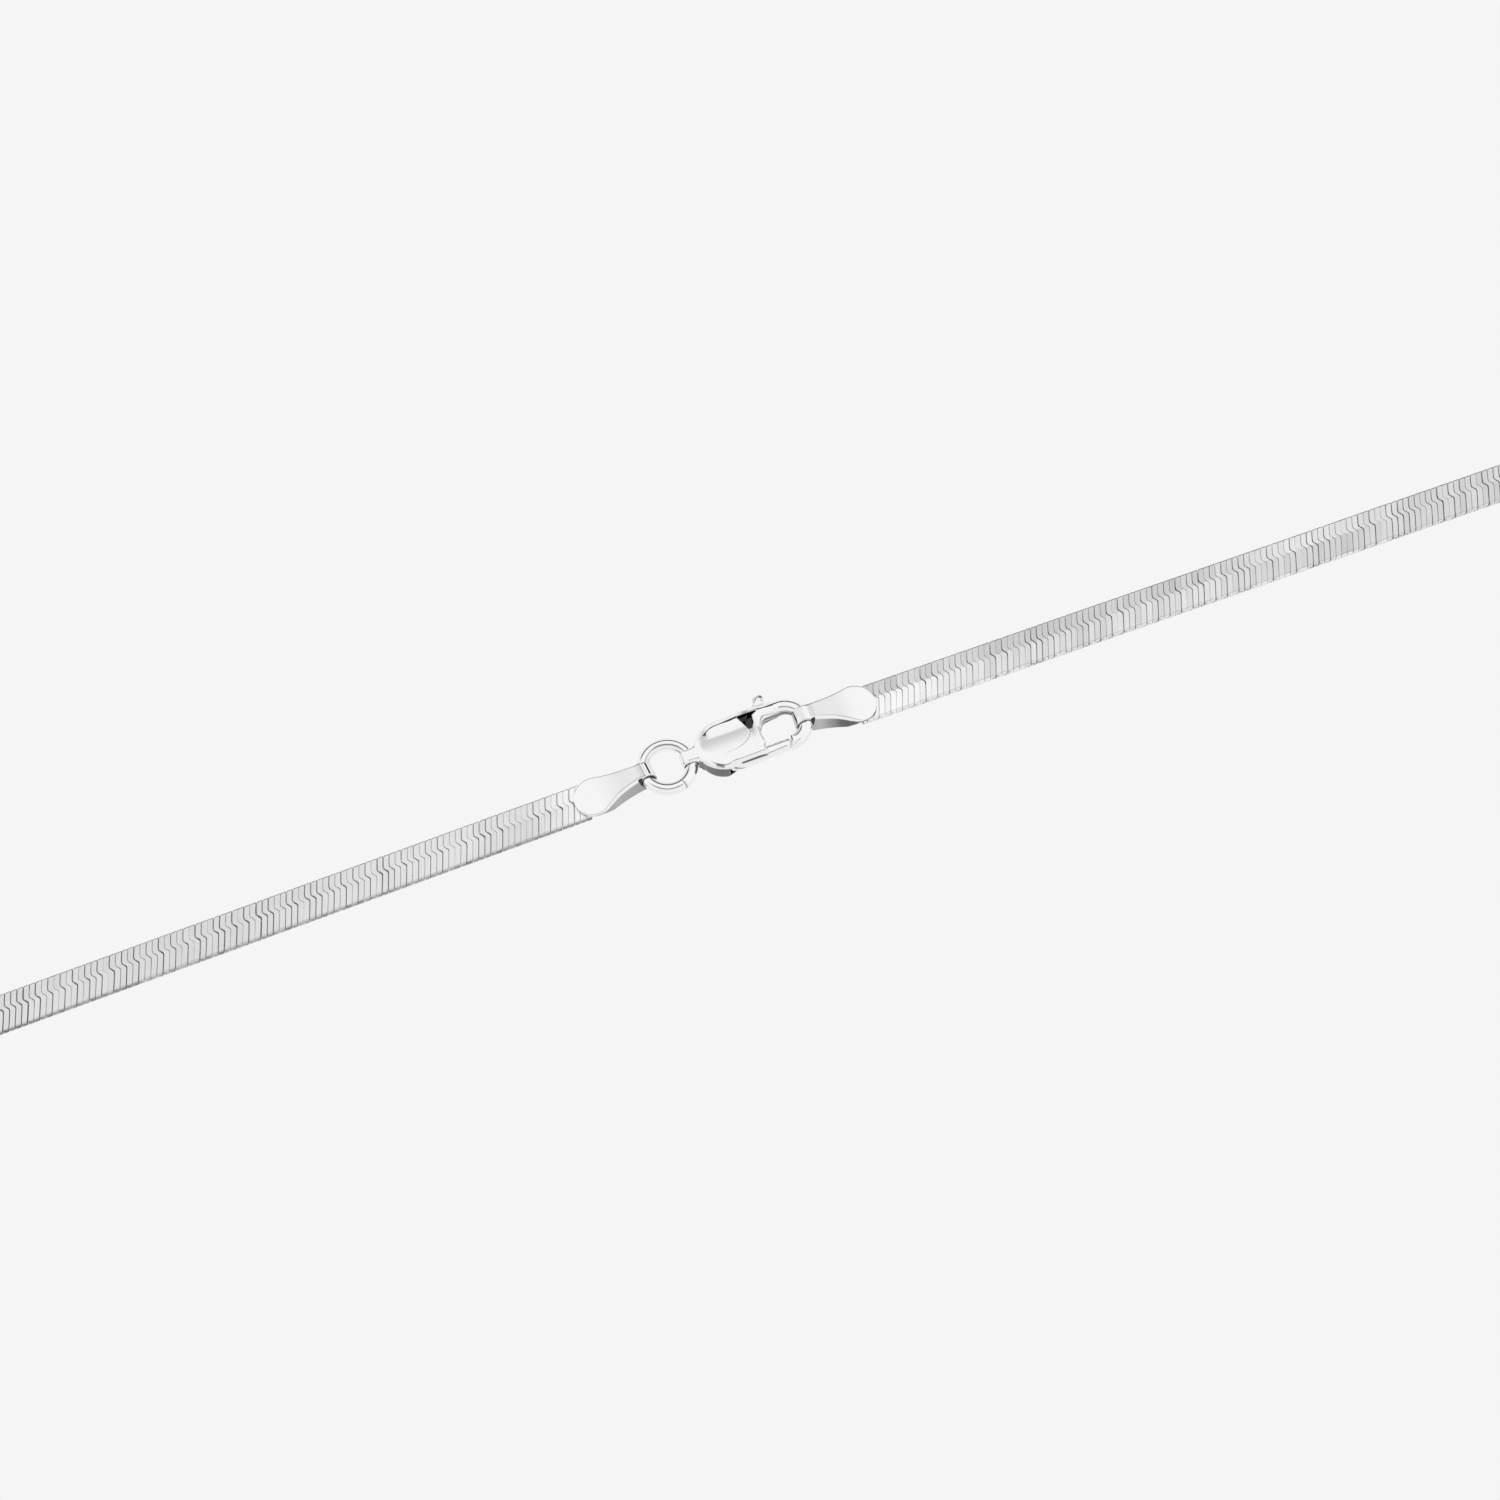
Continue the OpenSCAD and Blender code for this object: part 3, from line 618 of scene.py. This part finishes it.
def cap_shape(wire, ring_radius, turn, near, top_tones, wall_tones):
    """An end cap along x from the middle of its fold, round a wire of a ring beside it.

    near is the sign of y on its near side, where the fold was pressed in.
    """
    fold_r = wire / 2 + FIT_GAP + CAP_PLATE
    low = MID - fold_r
    under = BAND_T + FIT_GAP
    tip = CAP_LEN + CAP_END_R
    start = CAP_LEN - math.sqrt((CAP_END_R + FLARE_R) ** 2 - (FOLD_HALF + FLARE_R) ** 2)
    touch = start + FLARE_R * (CAP_LEN - start) / (CAP_END_R + FLARE_R)
    side_view = [(0, low), (CAP_LEN - CAP_HEEL, min(low, CAP_FOOT)),
                 (CAP_LEN - FIT_GAP - BAND_W / 2 * math.sin(CAP_TURN), under), (tip + 1, under),
                 (tip + 1, under + CAP_PLATE), (CAP_LEN + CAP_END_R / 2, under + CAP_PLATE),
                 (0, MID + fold_r)]
    ring_x = -ring_radius * math.cos(turn)
    ring_y = ring_radius * math.sin(turn)

    def wire_hole(x, y, z):
        return (np.hypot(np.hypot(x - ring_x, y - ring_y) - ring_radius, z - MID)
                - wire / 2 - FIT_GAP)

    def shape(x, y, z):
        plan = np.where(x > touch, np.hypot(x - CAP_LEN, y) - CAP_END_R,
                        np.where(x < start, np.abs(y) - FOLD_HALF,
                                 FLARE_R - np.hypot(x - start, np.abs(y) - FOLD_HALF - FLARE_R)))
        side = joined(outline(x, z, side_view), np.hypot(x, z - MID) - fold_r, 0.12)
        on_near, on_far = step(y * near, 0.0, 0.3), step(-y * near, 0.0, 0.3)
        plan = plan + LEAN_IN * np.clip((z - 0.3) / 1.5, 0, 1) * (on_near * (1 - step(x, 2.4, 4.2)))
        corner = FOLD_EDGE_R - PLATE_LESS * np.maximum(step(x, 0.6, 1.4), on_near)
        over_foot = step(z, 0.5, 0.9)
        chamfer = on_near * over_foot * (NEAR_CHAMFER * step(x, -0.2, 0.8)
                                         - TIP_LESS * step(x, 3.6, 5.0))
        chamfer = chamfer + FAR_CHAMFER * on_far * over_foot * step(x, 0.2, 0.8)
        bevelled = -(plan + side + chamfer) * math.sqrt(0.5)
        solid = cut_from(rounded(plan, side, corner), bevelled, SOFT_CUT)
        return cut_from(solid, wire_hole(x, y, z), SOFT_CUT)

    def painted_light(x, y, z, nx, ny, nz):
        # Painted shade and highlight: the top and wall tables by the surface's slope, a painted
        # highlight on the near rounded edge, and painted shadow in the wire's hole and beside the
        # fold.
        top = np.interp(x, *np.transpose(top_tones))
        wall = np.interp(x, *np.transpose(wall_tones))
        top = np.where(y * near > 0, top + (1 - top) * (1 - step(nz, 0.80, 0.93)), top)
        tone = wall + (top - wall) * step(nz, 0.28, 0.42)
        fold_shadow = np.abs(x - FOLD_SHADOW_X) < FOLD_SHADOW_HALF * np.clip((z - FOLD_SHADOW_FOOT) / 0.85, 0, 1)
        fold_shadow = fold_shadow & (y * near > 0.45) & (z < FOLD_SHADOW_TOP)
        return np.where((wire_hole(x, y, z) < 0.03) | fold_shadow, 0.05, tone)
    return shape, painted_light


cap_silver = silver_metal("polished_sheet_silver")
# Columns of each table of painted shade and painted reflection: distance from the fold's middle,
# and brightness there.
RING_CAP_TOP = [(-0.9, 0.90), (-0.48, 1.0), (-0.36, 0.94), (-0.26, 1.0), (0.04, 1.0), (0.13, 0.42),
                (0.22, 0.72), (0.55, 0.83), (0.65, 0.89), (2.0, 0.86), (4.2, 1.0)]
CLAW_CAP_TOP = [(-0.9, 0.84), (-0.05, 0.88), (0.05, 1.0), (0.38, 1.0), (0.46, 0.80), (0.82, 0.74),
                (0.90, 0.87), (2.8, 0.88), (4.4, 1.0)]
RING_CAP_WALL = [(0.2, 0.28), (0.6, 0.42), (1.6, 0.46), (3.0, 0.50), (4.2, 0.34), (4.9, 0.6),
                 (5.5, 0.8)]
CLAW_CAP_WALL = [(0.2, 0.50), (1.1, 0.54), (1.5, 0.48), (2.0, 0.36), (2.4, 0.29), (2.8, 0.17),
                 (3.5, 0.12), (4.5, 0.11)]
for name, node, wire, radius, lean, turn, at, near, top_tones, wall_tones in (
        ("cap_on_ring", "ring_end_cap", RING_WIRE, RING_R, CAP_TURN, math.pi + CAP_TURN, FOLD_AT,
         1, RING_CAP_TOP, RING_CAP_WALL),
        ("cap_on_claw", "clasp_end_cap", CLAW_WIRE, CLAW_R, -CAP_TURN, -CAP_TURN, CLAW_AT,
         -1, CLAW_CAP_TOP, CLAW_CAP_WALL)):
    shape, painted_light = cap_shape(wire, radius, lean, near, top_tones, wall_tones)
    cap = cast_metal(name, shape, painted_light, (-1.2, -2.0, -0.1), (6.6, 2.0, 2.4), 0.055, turn, at)
    cap.data.materials.append(cap_silver)
    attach(cap, "necklace")
    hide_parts(node)

# ---- Jump ring ------------------------------------------------------------------------
# A ring of round silver wire, bent closed so that its cut ends meet in a fine joint. It
# links the left cap to the bail of the clasp.
RING_STEPS, WIRE_STEPS = 160, 40
JOINT_AT = math.radians(-70)
JOINT_W, JOINT_DEPTH, JOINT_DARK = 0.035, 0.07, 0.85
# A faint dark line of painted reflection round the ring, by its angle round the wire.
PAINTED_LINE_AT, PAINTED_LINE_W, PAINTED_LINE_DARK = math.radians(113), math.radians(9), 0.45
angle = np.sort(np.concatenate([np.linspace(-math.pi, math.pi, RING_STEPS, endpoint=False),
                                JOINT_AT + np.linspace(-1, 1, 7) * 2 * JOINT_W / RING_R]))
round_wire = np.linspace(0, 2 * math.pi, WIRE_STEPS, endpoint=False)
in_joint = np.exp(-((angle - JOINT_AT) * RING_R / JOINT_W) ** 2)
dip = JOINT_DEPTH * in_joint
wire_r = (RING_WIRE / 2 - dip)[:, None]
reach = RING_R + wire_r * np.cos(round_wire)[None, :]
points = np.stack([reach * np.cos(angle)[:, None] + BAIL_AT[0] - RING_R - CENTRE[0],
                   reach * np.sin(angle)[:, None] + BAIL_AT[1] - CENTRE[1],
                   MID + wire_r * np.sin(round_wire)[None, :]], -1).reshape(-1, 3)
i, j = np.meshgrid(np.arange(len(angle)), np.arange(WIRE_STEPS), indexing="ij")
i2, j2 = (i + 1) % len(angle), (j + 1) % WIRE_STEPS
faces = np.stack([i * WIRE_STEPS + j, i2 * WIRE_STEPS + j, i2 * WIRE_STEPS + j2,
                  i * WIRE_STEPS + j2], -1).reshape(-1, 4).tolist()
ring = make_mesh("jump_ring_wire", points * MM, faces)
# Darker on the joint's outer side, and along the painted reflection's line round the wire.
painted_line = np.exp(-((round_wire - PAINTED_LINE_AT) / PAINTED_LINE_W) ** 2)
outer_side = 0.5 + 0.5 * np.cos(round_wire)
set_polish_and_painted_light(ring, ((1 - JOINT_DARK * in_joint[:, None] * outer_side[None, :])
                  * (1 - PAINTED_LINE_DARK * painted_line[None, :])).reshape(-1))
ring.data.materials.append(silver_metal("drawn_silver_wire"))
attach(ring, "necklace")
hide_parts("jump_ring")

# ---- Clasp body -----------------------------------------------------------------------
# The lobster clasp is cast hollow in silver: a bail, a body of two plates with the lever
# between them, a far arm and a claw of round section. Its edges are tumbled soft.
BODY_R = 2.4
BAIL_HALF = 0.625
NECK_LEN = 0.56
LOBE_X = BODY_R + NECK_LEN
CLAW_X = CLASP_LEN - CLAW_R
EYE_BACK = 2.15
EYE_X = CLAW_X - EYE_BACK
ARM_SKIN = 0.03
ARM_HALF = CLAW_WIRE / 2 + ARM_SKIN
EYE_R = CLAW_R - ARM_HALF
ARM_R = CLAW_R + ARM_HALF
EYE_CORNER = 0.6
PIN_BACK, PIN_IN = 0.8, 0.7
PIN_AT = (EYE_X - PIN_BACK, -CLAW_R + PIN_IN)
GATE_LEN = 2.87
LOBE_REACH = 0.15
LOBE_CORNER_X = EYE_X + LOBE_REACH
SLOT_HALF = 0.525
HEEL_LEN = 2.55
HEEL_X = PIN_AT[0] - HEEL_LEN
KNOB_BACK, KNOB_OUT = 1.22, 0.45
KNOB_AT = (CLAW_X - KNOB_BACK, BODY_R + KNOB_OUT)
SLOT_PLAN = [(HEEL_X - 0.2, -3.4), (HEEL_X - 0.2, -0.15), (4.2, 0.55), (4.2, 3.4),
             (KNOB_AT[0] + 1.5, 3.4), (KNOB_AT[0] + 0.3, BODY_R), (LOBE_CORNER_X, EYE_R - 0.05),
             (LOBE_CORNER_X + 1, -EYE_R / 2), (LOBE_CORNER_X + 1, -3.4)]
NOTCH = [(5.29, 0.32), (5.57, 0.32), (5.84, 0.75), (5.92, 1.38), (6.45, 1.66), (5.9, 1.70),
         (4.72, 1.70), (4.95, 1.15)]
DISH_AT, DISH_SIZE, DISH_DEPTH = (3.12, 0.25), (2.2, 1.3), 0.11
# Columns: distance from the bail's axis, and half the body's thickness there.
HALF_THICK = np.array([
    (-1, 0.845), (0.35, 0.845), (0.6, 0.87), (0.9, 0.99), (1.2, 1.10), (1.5, 1.145), (1.8, 1.15),
    (5.8, 1.15), (6.2, 1.135), (6.6, 1.075), (7.1, 0.94), (7.6, 0.79), (8.0, 0.68), (8.36, 0.62),
    (8.8, 0.60), (12, 0.60)])
# Columns: distance from the bail's axis, and the radius of the far top edge there.
FAR_EDGE = np.array([(2.0, 1.24), (3.06, 1.26), (4.06, 1.10), (5.06, 0.97), (6.0, 0.90),
                     (6.8, 0.78)])
# Radii of the other edges, with UNDER for those below the middle plane, and of the two
# corners at the gate's gap, seen from above.
FAR_UNDER_R = 1.05
NEAR_EDGE_R, NEAR_LESS, NEAR_UNDER_R = 0.45, 0.17, 0.6
BAIL_EDGE_R, ARM_EDGE_R = 0.26, 0.57
EYE_EDGE_R, EYE_UNDER_R = 0.42, 0.22
GAP_EDGE_R, TIP_EDGE_R = 0.42, 0.12
NECK_FILLET = 0.55
EYE_SLANT = 0.33
WALL_LEAN, UNDER_LEAN = 0.25, 0.28
PIN_HOLE_R = 0.42


def tapered_bar(x, y, ax, ar, bx, br):
    """Distance to a bar along x with round ends of two radii."""
    y = np.abs(y)
    lean = (ar - br) / (bx - ax)
    run = math.sqrt(1 - lean * lean)
    t = ((x - ax) * run - y * lean) / run
    along = np.clip((x - ax) + y * lean / run, 0, bx - ax)
    return np.hypot(x - ax - along, y) - (ar + (br - ar) * along / (bx - ax))


def clasp_plan(x, y):
    """Outline of the body seen from above, with its eye and its gate's gap."""
    body = tapered_bar(x, y, LOBE_X, BODY_R, CLAW_X, ARM_R)
    neck = np.maximum(np.abs(y) - BAIL_HALF, x - LOBE_X)
    plan = joined(body, neck, NECK_FILLET)
    back = EYE_X + EYE_SLANT * step(y, -0.4, 0.9) - x
    eye_back = rounded(np.abs(y) - EYE_R, np.maximum(back, x - CLAW_X - 0.01), EYE_CORNER)
    eye = np.minimum(np.hypot(x - CLAW_X, y) - EYE_R, eye_back)
    return plan, eye


def in_dish(x, y):
    """How far out a point is from the middle of the body's dished face; its rim is at 1."""
    return np.hypot((x - DISH_AT[0]) / DISH_SIZE[0], (y - DISH_AT[1]) / DISH_SIZE[1])


def clasp_hollows(x, y, mid):
    """Distance to the slot for the lever, the notch above its shank and the ring's hole."""
    slot = np.maximum(outline(x, y, SLOT_PLAN), np.abs(mid) - SLOT_HALF)
    notch = np.maximum(outline(x, y, NOTCH), -mid)
    return slot, notch, np.hypot(np.hypot(x + RING_R, y) - RING_R, mid)


def clasp_shape(x, y, z):
    """The whole casting, with the radius of its edge changing from place to place."""
    mid = z - MID
    plan, eye = clasp_plan(x, y)
    tip = np.hypot(x - PIN_AT[0], y - PIN_AT[1]) - GATE_LEN - FIT_GAP
    gap = np.maximum(np.maximum(LOBE_CORNER_X - x, y), tip)
    plan = rounded(np.maximum(plan, -eye), -gap, np.where(x < EYE_X + 1, GAP_EDGE_R, TIP_EDGE_R))
    half = np.interp(x, HALF_THICK[:, 0], HALF_THICK[:, 1])
    face = np.where(x < 0, np.hypot(x, mid) - HALF_THICK[0, 1], np.abs(mid) - half)
    far_side = np.where(mid > 0, np.interp(x, FAR_EDGE[:, 0], FAR_EDGE[:, 1]), FAR_UNDER_R)
    near_side = np.where(mid > 0, NEAR_EDGE_R - NEAR_LESS * step(x, 3.0, 3.8), NEAR_UNDER_R)
    wide = near_side + (far_side - near_side) * step(y, -0.4, 1.5)
    wide = np.where(np.abs(y) < BAIL_HALF + 0.4,
                    wide + (BAIL_EDGE_R - wide) * (1 - step(x, 0.7, 2.0)), wide)
    by_eye = (1 - step(eye, 0.1, 0.9 - 0.15 * step(y, 1.2, 1.6))) * step(x, 5.0, 5.6)
    by_eye = by_eye * (1 - np.where(mid > 0, step(x, 6.4, 8.0), step(x, 8.0, 9.4)))
    wide = wide + (ARM_EDGE_R - wide) * step(x, 6.8, 8.4)
    wide = wide + (np.minimum(np.where(mid > 0, EYE_EDGE_R, EYE_UNDER_R), wide) - wide) * by_eye
    dish = DISH_DEPTH * np.clip(1 - in_dish(x, y) ** 2, 0, 1) ** 0.8
    face = np.where(mid > 0, face + dish, face)
    beside_lever = step(-y, 0.6, 1.6) * step(x, 2.4, 3.6) * (1 - step(x, 6.2, 7.2))
    lean = beside_lever * np.where(mid > 0, WALL_LEAN * np.clip((z - 0.75) / 1.35, 0, 1),
                                   UNDER_LEAN * step(-mid, 0.1, 0.5))
    solid = rounded(plan + lean, face, wide)
    slot, notch, from_ring = clasp_hollows(x, y, mid)
    solid = cut_from(solid, slot, SOFT_CUT)
    solid = cut_from(solid, notch, 0.08)
    solid = cut_from(solid, from_ring - RING_WIRE / 2 - FIT_GAP, SOFT_CUT)
    pin_hole = np.maximum(np.hypot(x - PIN_AT[0], y - PIN_AT[1]) - PIN_HOLE_R, mid)
    return cut_from(solid, pin_hole, 0.03)


# How much darker each place of the body is, as painted shade: the dish, the plate beside the notch,
# the dish's rim, the near wall, the line under the near edge, the streak at its left end, the wall
# of the eye with its paler band of painted reflection, and the claw's tip. Then the tones of
# painted shade in the hollows.
DISH_SHADE, BESIDE_NOTCH, RIM_SHADE = 0.34, 0.48, 0.5
NEAR_WALL, UNDER_EDGE, PAINTED_STREAK = 0.86, 0.92, 0.85
EYE_WALL, EYE_BAND, CLAW_TIP = 0.84, 0.45, 0.75
IN_SLOT, IN_RING_HOLE = 0.035, 0.1
PAINTED_STREAK_AT, PAINTED_STREAK_RUN, PAINTED_STREAK_R = (1.72, -1.80), (0.43, -0.28), 0.10


def clasp_painted_light(x, y, z, nx, ny, nz):
    """Painted shade: bright on its faces, dark in its hollows and on the walls that face the
    camera.
    """
    mid = z - MID
    eye = clasp_plan(x, y)[1]
    tone = np.ones(x.shape)
    dish = in_dish(x, y)
    shade = (1 - step(y, 0.50, 0.74)) * step(y, -0.9, 0.6) * (1 - step(dish, 0.88, 1.0))
    shade = np.maximum(shade, step(x, 0.9, 1.4) * (1 - step(x, 1.5, 2.2)) * step(y, -0.3, 0.5))
    beside_notch = np.exp(-((x - 5.5) / 0.33) ** 2) * step(y, -0.8, 0.3)
    rim = np.exp(-((dish - 1.0) / 0.03) ** 2) * step(x, 2.0, 4.6) * (y < 0.7)
    on_top = step(nz, 0.6, 0.8) * (mid > 0.6)
    tone -= on_top * np.maximum(np.maximum(DISH_SHADE * shade, BESIDE_NOTCH * beside_notch),
                                RIM_SHADE * rim)
    wall = (1 - step(nz, 0.06, 0.2)) * step(-ny, 0.15, 0.45)
    tone -= NEAR_WALL * wall * step(x, 0.35, 0.6) * (1 - step(x, 2.55, 2.75)) * (y < 0)
    under_edge = (1 - step(nz, 0.30, 0.50)) * (y < -0.6) * (x > 3.7) * (x < 6.45) * (mid > 0.5)
    tone -= UNDER_EDGE * under_edge * (1 - step(z + 0.16 * step(x, 5.3, 6.2), 1.87, 1.97))
    along = np.clip(((x - PAINTED_STREAK_AT[0]) * 0.84 - (y - PAINTED_STREAK_AT[1]) * 0.54) / 0.51, 0, 1)
    from_painted_streak = np.hypot(x - PAINTED_STREAK_AT[0] - PAINTED_STREAK_RUN[0] * along,
                          y - PAINTED_STREAK_AT[1] - PAINTED_STREAK_RUN[1] * along)
    tone -= PAINTED_STREAK * (np.exp(-(from_painted_streak / PAINTED_STREAK_R) ** 2) * (z > 1.7))
    eye_wall = (1 - step(nz, 0.35, 0.60)) * step(-ny, 0.1, 0.3) * step(x, 6.0, 6.5) * (y > 0.4)
    eye_wall = eye_wall * (eye < 0.6) * (1 - step(z, 1.30, 1.50))
    tone -= EYE_WALL * eye_wall * (1 - EYE_BAND * np.exp(-((z - 0.88) / 0.15) ** 2))
    tone -= CLAW_TIP * step(-nx, 0.7, 0.95) * (x > 8.6) * (y > -0.6)
    slot, notch, from_ring = clasp_hollows(x, y, mid)
    in_ring_hole = from_ring < RING_WIRE / 2 + FIT_GAP + 0.03
    tone = np.where(in_ring_hole, IN_RING_HOLE, np.clip(tone, 0.1, 1))
    return np.where((slot < 0.04) | (notch < 0.03), IN_SLOT, tone)


clasp = cast_metal("clasp_casting", clasp_shape, clasp_painted_light, (-1.1, -2.7, -0.15),
                   (10.9, 2.7, 2.5), 0.056, 0.0, BAIL_AT)
clasp.data.materials.append(silver_metal("polished_cast_silver", cloud=0.06, wear=0.06))
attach(clasp, "necklace")
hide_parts("clasp_body")

# ---- Lever and pin --------------------------------------------------------------------
# The lever is cast in one piece: a heel and a gate along the near side, a bore for the
# pin, and a shank with a thumb knob. The pin is wire, pressed through the lower plate.
LEVER_HALF = 0.475
GATE_HALF = 0.4
BORE_R = 0.44
BOSS_R = 0.85
WEB_HALF = 0.8
HEEL_EDGE_R, SHANK_LESS = 0.38, 0.26
# The heel's corners; the gate is drawn past its end, which a circle round the pin cuts.
GATE_PAST = PIN_AT[0] + 3.9
HEEL_PLAN = [(HEEL_X, -CLAW_R + GATE_HALF), (HEEL_X - 0.08, -BODY_R + 0.22),
             (HEEL_X + 0.3, -BODY_R + 0.10), (HEEL_X + 0.9, -BODY_R + 0.05),
             (PIN_AT[0], -BODY_R + 0.05),
             (GATE_PAST, -CLAW_R - GATE_HALF), (GATE_PAST, -CLAW_R + GATE_HALF)]
SHANK_PLAN = [(PIN_AT[0] - 0.44, PIN_AT[1]), (EYE_X - 0.05, PIN_AT[1]), (EYE_X - 0.05, EYE_R - 0.1),
              (KNOB_AT[0] + 0.3, KNOB_AT[1] - 0.3), (KNOB_AT[0] - 0.3, KNOB_AT[1]),
              (EYE_X - 0.65, EYE_R + 0.6), (EYE_X - 0.95, EYE_R)]
KNOB_R = 0.5
# How much darker each place is: as painted shade inside the body, tucked under the plate and along
# the heel's line; at dark marks on the gate; and on the knob's spot, a painted reflection, and its
# painted shaded side.
HIDDEN, TUCKED, HEEL_LINE, GATE_MARKS, KNOB_SPOT, KNOB_SHADE = 0.95, 0.9, 0.8, 0.75, 0.92, 0.32
SPOT_AT, SPOT_R = (0.24, 0.18), 0.18


def lever_shape(x, y, z):
    """Heel, gate, boss and shank with its knob, bored for the pin."""
    mid = z - MID
    from_pin = np.hypot(x - PIN_AT[0], y - PIN_AT[1])
    gate = rounded(outline(x, y, HEEL_PLAN), from_pin - GATE_LEN, 0.1)
    boss = from_pin - BOSS_R
    web = np.maximum(np.abs(x - PIN_AT[0] + 0.05) - WEB_HALF,
                     np.maximum(-CLAW_R - y, y - PIN_AT[1]))
    plan = np.minimum(np.minimum(gate, boss), np.minimum(outline(x, y, SHANK_PLAN), web))
    edge_r = HEEL_EDGE_R - SHANK_LESS * step(y, -1.3, -1.05)
    solid = rounded(plan, np.abs(mid) - LEVER_HALF, edge_r)
    knob = np.sqrt((x - KNOB_AT[0]) ** 2 + (y - KNOB_AT[1]) ** 2 + mid ** 2) - KNOB_R
    solid = joined(solid, knob, 0.15)
    return cut_from(solid, from_pin - BORE_R, 0.02)


def lever_painted_shade_and_marks(x, y, z, nx, ny, nz):
    """Painted shade inside the body and under the plate, a painted reflection on the knob, and dark
    marks on the gate.
    """
    hidden = step(y, -1.2, -0.95) * (1 - step(y, 2.0, 2.45)) * (1 - step(x, 7.0, 7.4))
    gate_marks = (np.maximum((x > 6.9) & (x < 7.65), (x > 7.85) & (x < 8.15))
              * (y > -1.45) * (y < -1.2) * (nz > 0.2))
    tucked = ((1 - step(-y, 2.14, 2.22)) * step(x, 3.7, 4.0) * (1 - step(x, 5.9, 6.15))
              * (nz > 0.1) * (y < -1.0))
    from_knob = np.hypot(x - KNOB_AT[0] - SPOT_AT[0], y - KNOB_AT[1] - SPOT_AT[1])
    spot = KNOB_SPOT * np.exp(-(from_knob / SPOT_R) ** 2) * (z > MID)
    shaded = KNOB_SHADE * step(KNOB_AT[0] - x, 0.1, 0.35) * (y > 2.4) * (nz < 0.8)
    heel_line = np.exp(-((z - 1.6 + 0.55 * (x - 2.8)) / 0.1) ** 2) * (x < 4.1) * (-ny > 0.3)
    return np.clip(1 - HIDDEN * hidden - TUCKED * tucked - HEEL_LINE * heel_line
                   - GATE_MARKS * gate_marks - spot - shaded, 0.05, 1)


lever = cast_metal("lever_casting", lever_shape, lever_painted_shade_and_marks, (2.6, -2.6, 0.4),
                   (8.9, 3.8, 1.9), 0.055, 0.0, BAIL_AT)
lever.data.materials.append(silver_metal("polished_lever_silver", cloud=0.05, wear=0.06))
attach(lever, "lever")
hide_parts("clasp_lever")

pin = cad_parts["lever_pin"]
pin.data.materials.clear()
pin.data.materials.append(silver_metal("pin_wire", tint=0.88, cloud=0.08, smoothness=0.18,
                                       wear=0.25, tone_name=None))
